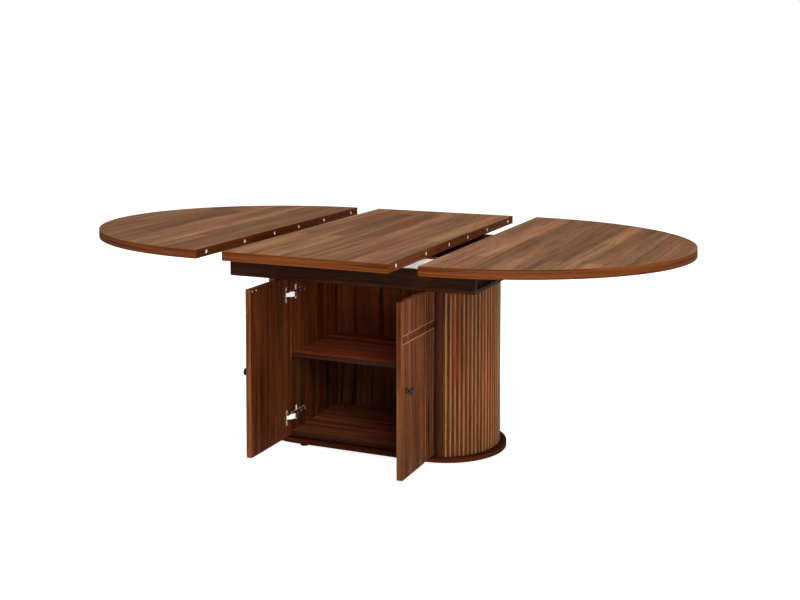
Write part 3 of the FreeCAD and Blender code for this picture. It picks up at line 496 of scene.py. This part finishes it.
# Next to the door the border is darkened as painted shade of the door, most right beside it. The
# plain rear part keeps more stain.
for value, start, end, code in (
    (outward, BORDER_END, BORDER_END - 0.003, "#927262"),
    (outward, BORDER_END, BORDER_END - 0.024, "#7c5444"),
    (spot["Y"], PLAIN_REAR[0], PLAIN_REAR[1], "#b49386"),
):
    border = {"Value": value, "From Min": start, "From Max": end}
    stain_and_shade(end_foil, add(tree, "ShaderNodeMapRange", border).outputs[0], code)
finish_as(end_foil, "end_panel_left", "end_panel_right")

# ---- Base plate and glides ----
# A board in the darkest walnut foil, with an eased upper edge, carries the cabinet. Under it are
# glides of black moulded plastic, which are slightly dull.

PLINTH_TONES = ("#311305", "#49210e", "#592c15")
PLINTH_ENDS = ("#3c1708", "#582812")
PLINTH_SHINE = 0.05
plinth_foil = walnut(
    "plinth_walnut_foil", "x", PLINTH_TONES, seed=37.0, ends=PLINTH_ENDS, shine=PLINTH_SHINE
)
finish_as(plinth_foil, "base_plate")
black_plastic = plain("black_moulded_plastic", "#141414", roughness=0.5)
finish_as(black_plastic, "glides")

# ---- Doors ----
# Boards with upright walnut foil, redder inside than out. Each has five coves beside its hinge
# edge, and a sunk band between two pale inlaid strips. The coves' hollows and the band near the
# hinge are darkened with painted shade.

# As the doors stand open: their outer face from the middle of the table, their thickness, where
# the coves end, the band's lower and upper edges, and where its painted shade starts and is deepest
DOOR_FACE = 0.2865
DOOR_THICKNESS = 0.020
LAST_COVE = -0.304
BAND = (0.476, 0.506)
BAND_SHADE = (-0.47, -0.30)
DOOR_TONES = ("#643820", "#814d2b", "#9f643c")
DOOR_DRIFT = (34, "#ccd0c8", "#fff0e4")
DOOR_VEIN = "#8a6a56"
INLAY_TONES = ("#a8795a", "#bd8d6a", "#cc9d78")

door_foil = walnut(
    "door_walnut_foil",
    "z",
    DOOR_TONES,
    seed=41.0,
    streak_mm=28,
    vein=DOOR_VEIN,
    drift=DOOR_DRIFT,
)
tree, spot = whereabouts(door_foil)
outward = add(tree, "ShaderNodeMath", {0: spot["X"]}, operation="ABSOLUTE").outputs[0]
by_hinge = {0: spot["Y"], 1: LAST_COVE}
by_hinge = add(tree, "ShaderNodeMath", by_hinge, operation="GREATER_THAN").outputs[0]
outer = {0: outward, 1: DOOR_FACE - 0.0045}
outer = add(tree, "ShaderNodeMath", outer, operation="GREATER_THAN").outputs[0]
above = add(tree, "ShaderNodeMath", {0: spot["Z"], 1: BAND[0]}, operation="GREATER_THAN")
below = add(tree, "ShaderNodeMath", {0: spot["Z"], 1: BAND[1]}, operation="LESS_THAN")
band = product(tree, above.outputs[0], below.outputs[0])
off_band = add(tree, "ShaderNodeMath", {0: 1.0, 1: band}, operation="SUBTRACT").outputs[0]
# The coves' hollows beside the hinge are darkened: painted shade
cove_shade = {"Value": outward, "From Min": DOOR_FACE - 0.0002, "From Max": DOOR_FACE - 0.003}
cove_shade = add(tree, "ShaderNodeMapRange", cove_shade).outputs[0]
stain_and_shade(door_foil, product(tree, by_hinge, outer, cove_shade, off_band), "#a88d7e")
# The sunk band is darkened towards the hinge: painted shade in its recess
sunk = {"Value": outward, "From Min": DOOR_FACE - 0.001, "From Max": DOOR_FACE - 0.0035}
sunk = add(tree, "ShaderNodeMapRange", sunk).outputs[0]
hingeward = {"Value": spot["Y"], "From Min": BAND_SHADE[0], "From Max": BAND_SHADE[1]}
hingeward = add(tree, "ShaderNodeMapRange", hingeward).outputs[0]
stain_and_shade(door_foil, product(tree, band, sunk, outer, hingeward), "#e0b8a0")
# The inner face has the carcass's redder foil
inner = {0: outward, 1: DOOR_FACE - DOOR_THICKNESS + 0.0005}
inner = add(tree, "ShaderNodeMath", inner, operation="LESS_THAN").outputs[0]
stain_and_shade(door_foil, inner, "#d2bcc7")
finish_as(door_foil, "door_left", "door_right")
inlay = walnut("pale_inlay", "y", INLAY_TONES, seed=43.0)
finish_as(inlay, "door_inlays_left", "door_inlays_right")

# ---- Knobs ----
# Mushroom knobs turned from alloy bar, with a coved neck and a crowned head, in satin black enamel.
# A bronzed bolt from inside the door holds each one.

# The profile from the door outwards: distance from the door's face and radius, in mm
KNOB_PROFILE = [
    (0.0, 8.9), (1.3, 9.0), (2.3, 8.4), (3.0, 7.0), (3.9, 5.5), (5.6, 4.7), (9.0, 4.4),
    (13.0, 4.5), (15.0, 5.2), (16.2, 7.0), (16.9, 9.6), (17.5, 11.6), (18.4, 12.7), (19.8, 13.0),
    (21.4, 12.6), (22.9, 11.2), (24.0, 8.9), (24.7, 5.6), (24.95, 2.4),
]
KNOB_TURNS = 56


def turned_knob(name, side):
    """The knob's profile turned about its bolt: side is 1 on the right and -1 on the left."""
    low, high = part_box(f"knob_{name}")
    middle = [(low[axis] + high[axis]) / 2 for axis in range(3)]
    face = low[0] if side > 0 else high[0]
    turned = bmesh.new()
    rings = []
    for out, radius in KNOB_PROFILE:
        ring = []
        for step in range(KNOB_TURNS):
            angle = 2 * math.pi * step / KNOB_TURNS
            place = (
                face + side * out / 1000,
                middle[1] + radius / 1000 * math.cos(angle),
                middle[2] + radius / 1000 * math.sin(angle),
            )
            ring.append(turned.verts.new(place))
        rings.append(ring)
    for inner_ring, outer_ring in zip(rings, rings[1:]):
        for step in range(KNOB_TURNS):
            after = (step + 1) % KNOB_TURNS
            corners = (inner_ring[step], inner_ring[after], outer_ring[after], outer_ring[step])
            turned.faces.new(corners)
    turned.faces.new(rings[0])
    turned.faces.new(rings[-1])
    bmesh.ops.recalc_face_normals(turned, faces=turned.faces)
    mesh = bpy.data.meshes.new(f"turned_knob_{name}")
    turned.to_mesh(mesh)
    turned.free()
    for mesh_face in mesh.polygons:
        mesh_face.use_smooth = len(mesh_face.vertices) == 4
    piece = bpy.data.objects.new(mesh.name, mesh)
    bpy.context.collection.objects.link(piece)
    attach(piece, f"door_{name}")
    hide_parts(f"knob_{name}")
    return piece


knob_black = plain("satin_black_enamel", "#0d0d0e", roughness=0.32)
for name, side in (("left", -1), ("right", 1)):
    turned_knob(name, side).data.materials.append(knob_black)
bronzed = plain("bronzed_steel", "#4a2214", roughness=0.5, grit_mm=0.8)
finish_as(bronzed, "knob_bolt_left", "knob_bolt_right")

# ---- Concealed hinges ----
# Pressed and nickel-plated steel: a cup screwed into the door, and an arm on a housing and a plate
# that are screwed to the side. A faint glow on the plating is a painted reflection of the white
# studio in front. Dark brown on the arms behind their bend, on the round cups and on the housings
# is painted reflection and shade of the dark cabinet. The plates' screws are plated a warmer zinc.

STUDIO_WHITE = (1, 0.97, 0.95, 1)
PLATE_GLOW = 0.15
# Where the arms bend, how much they glow in front of it, and half a flange's bright width
ARM_BEND = -0.205
ARM_GLOW = 0.45
FLANGE_HALF = 0.0045


def bright_plate(name):
    """Nickel plating and its shader: its faint glow stands for a studio that it mirrors."""
    plating = plain(name, "#fbf9f7", roughness=0.34, grit_mm=0.6, metallic=0.1)
    shader = plating.node_tree.nodes["Principled BSDF"]
    shader.inputs["Emission Color"].default_value = STUDIO_WHITE
    return plating, shader


bright_nickel, glowing = bright_plate("bright_nickel_plate")
glowing.inputs["Emission Strength"].default_value = PLATE_GLOW
finish_as(bright_nickel, "hinge_plates", "hinge_pins")
arm_nickel, glowing = bright_plate("arm_nickel_plate")
tree, spot = whereabouts(arm_nickel)
# Behind the bend the arm is painted dark brown and stops glowing: a painted reflection of the dark
# cabinet
painted_dark_behind_bend = {"Value": spot["Y"], "From Min": ARM_BEND - 0.002, "From Max": ARM_BEND + 0.002}
painted_dark_behind_bend = add(tree, "ShaderNodeMapRange", painted_dark_behind_bend).outputs[0]
stain_and_shade(arm_nickel, painted_dark_behind_bend, "#5a3424")
glow = add(tree, "ShaderNodeMapRange", {"Value": painted_dark_behind_bend, "To Min": ARM_GLOW, "To Max": 0.0})
tree.links.new(glow.outputs[0], glowing.inputs["Emission Strength"])
finish_as(arm_nickel, "hinge_arms_left", "hinge_arms_right")
# Each cup's flange is bright across its middle. The round cup is painted dark brown: painted shade
# and a painted reflection of the walnut beside it
cup_nickel = plain("brushed_nickel", "#e0beb0", roughness=0.4, grit_mm=0.6)
low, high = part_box("hinge_cups_left")
cup_middle = (low[1] + high[1]) / 2
tree, spot = whereabouts(cup_nickel)
aside = {0: spot["Y"], 1: cup_middle}
aside = add(tree, "ShaderNodeMath", aside, operation="SUBTRACT").outputs[0]
aside = add(tree, "ShaderNodeMath", {0: aside}, operation="ABSOLUTE").outputs[0]
cup_painted_shade_and_reflection = {0: aside, 1: FLANGE_HALF + 0.0002}
cup_painted_shade_and_reflection = add(tree, "ShaderNodeMath", cup_painted_shade_and_reflection, operation="GREATER_THAN").outputs[0]
stain_and_shade(cup_nickel, cup_painted_shade_and_reflection, "#6a3c2a")
finish_as(cup_nickel, "hinge_cups_left", "hinge_cups_right")
# The housings are painted dark brown all over: a painted reflection of the dark inside of the
# cabinet
housing_painted_reflection = plain("nickel_painted_with_cabinet_reflection", "#542c1c", roughness=0.5, grit_mm=0.6, metallic=0.1)
finish_as(housing_painted_reflection, "hinge_housings")
warm_zinc = plain("warm_zinc_plate", "#d8a68c", roughness=0.4, grit_mm=0.6)
finish_as(warm_zinc, "hinge_screws")
finish_as(zinc, "door_screws_left", "door_screws_right")

# ---- Magnetic catches ----
# Bar magnets of dull grey ferrite, let into the top panel's edge. They meet bronzed strike plates
# that are screwed to the doors' inner faces.

ferrite = plain("ferrite_magnet", "#3a3a3c", roughness=0.6, grit_mm=1.5)
finish_as(ferrite, "catch_magnets")
finish_as(bronzed, "strike_plate_left", "strike_plate_right")

# ---- Floor, light and camera ----
# A pale studio floor that glows a little by itself and fades into a white sky further out. A wide
# soft light hangs overhead, two stand in front on the right, one high and one low, and two weaker
# ones fill in from the left and from the right.

FLOOR_RADIUS = 30
# How bright the floor glows under the table and further out, and from where to where it fades
FLOOR_GLOW = (0.9, 1.0)
FLOOR_FADE = (1.0, 4.0)
floor_mesh = bpy.data.meshes.new("studio_floor")
outline = bmesh.new()
bmesh.ops.create_circle(outline, cap_ends=True, segments=96, radius=FLOOR_RADIUS)
outline.to_mesh(floor_mesh)
outline.free()
floor = bpy.data.objects.new("studio_floor", floor_mesh)
bpy.context.collection.objects.link(floor)
studio = plain(
    "pale_studio_floor", "#f4f4f3", roughness=0.9, grit_mm=400, relief=0.0, variation=0.01
)
tree = studio.node_tree
place = add(tree, "ShaderNodeTexCoord").outputs["Object"]
away = add(tree, "ShaderNodeVectorMath", {0: place}, operation="LENGTH").outputs["Value"]
fade = {
    "Value": away,
    "From Min": FLOOR_FADE[0],
    "From Max": FLOOR_FADE[1],
    "To Min": FLOOR_GLOW[0],
    "To Max": FLOOR_GLOW[1],
}
glow = add(tree, "ShaderNodeMapRange", fade).outputs[0]
seen = add(tree, "ShaderNodeLightPath").outputs["Is Camera Ray"]
glow = add(tree, "ShaderNodeMath", {0: glow, 1: seen}, operation="MULTIPLY").outputs[0]
shader = tree.nodes["Principled BSDF"]
shader.inputs["Emission Color"].default_value = (1, 1, 1, 1)
tree.links.new(glow, shader.inputs["Emission Strength"])
floor_mesh.materials.append(studio)

world = bpy.data.worlds.new("white_studio")
bpy.context.scene.world = world
world.use_nodes = True
sky = world.node_tree
backdrop = sky.nodes["Background"]
seen = add(sky, "ShaderNodeLightPath").outputs["Is Camera Ray"]
# The sky looks white, and lights the table only a little
level = add(sky, "ShaderNodeMapRange", {"Value": seen, "To Min": 0.08, "To Max": 1.0})
backdrop.inputs["Color"].default_value = (1, 1, 1, 1)
sky.links.new(level.outputs[0], backdrop.inputs["Strength"])

# Every lamp is aimed at the middle of the table. A row is its name, watts, width and place.
AIM = Vector((0, 0, 0.45))
for name, watts, width, place in (
    ("high_front_lamp", 120, 2.0, (2.6, -4.2, 3.4)),
    ("low_front_lamp", 78, 2.0, (3.4, -4.0, 1.2)),
    ("side_lamp", 6, 2.4, (5.0, -1.0, 1.0)),
    ("left_lamp", 22, 2.4, (-3.6, -3.4, 1.6)),
    ("top_lamp", 184, 3.0, (0, 0, 4.2)),
):
    light = bpy.data.lights.new(name, "AREA")
    light.energy = watts
    light.size = width
    lamp = bpy.data.objects.new(name, light)
    lamp.location = place
    lamp.rotation_euler = (AIM - Vector(place)).to_track_quat("-Z", "Y").to_euler()
    bpy.context.collection.objects.link(lamp)

# The camera stands to the right of the table's front, tilted down by this many degrees and turned
# to the left by this many
TILT_DOWN = 3.737
TURN = 23.383
camera_data = bpy.data.cameras.new("camera")
camera_data.lens = 52.866
camera_data.sensor_width = 36
camera_data.sensor_fit = "HORIZONTAL"
camera_data.shift_y = -0.2
camera_data.clip_end = 100
camera = bpy.data.objects.new("camera", camera_data)
camera.location = (1.7368, -3.857, 1.3699)
camera.rotation_euler = (math.radians(90 - TILT_DOWN), 0, math.radians(TURN))
bpy.context.collection.objects.link(camera)
bpy.context.scene.camera = camera
bpy.context.scene.view_settings.view_transform = "Standard"
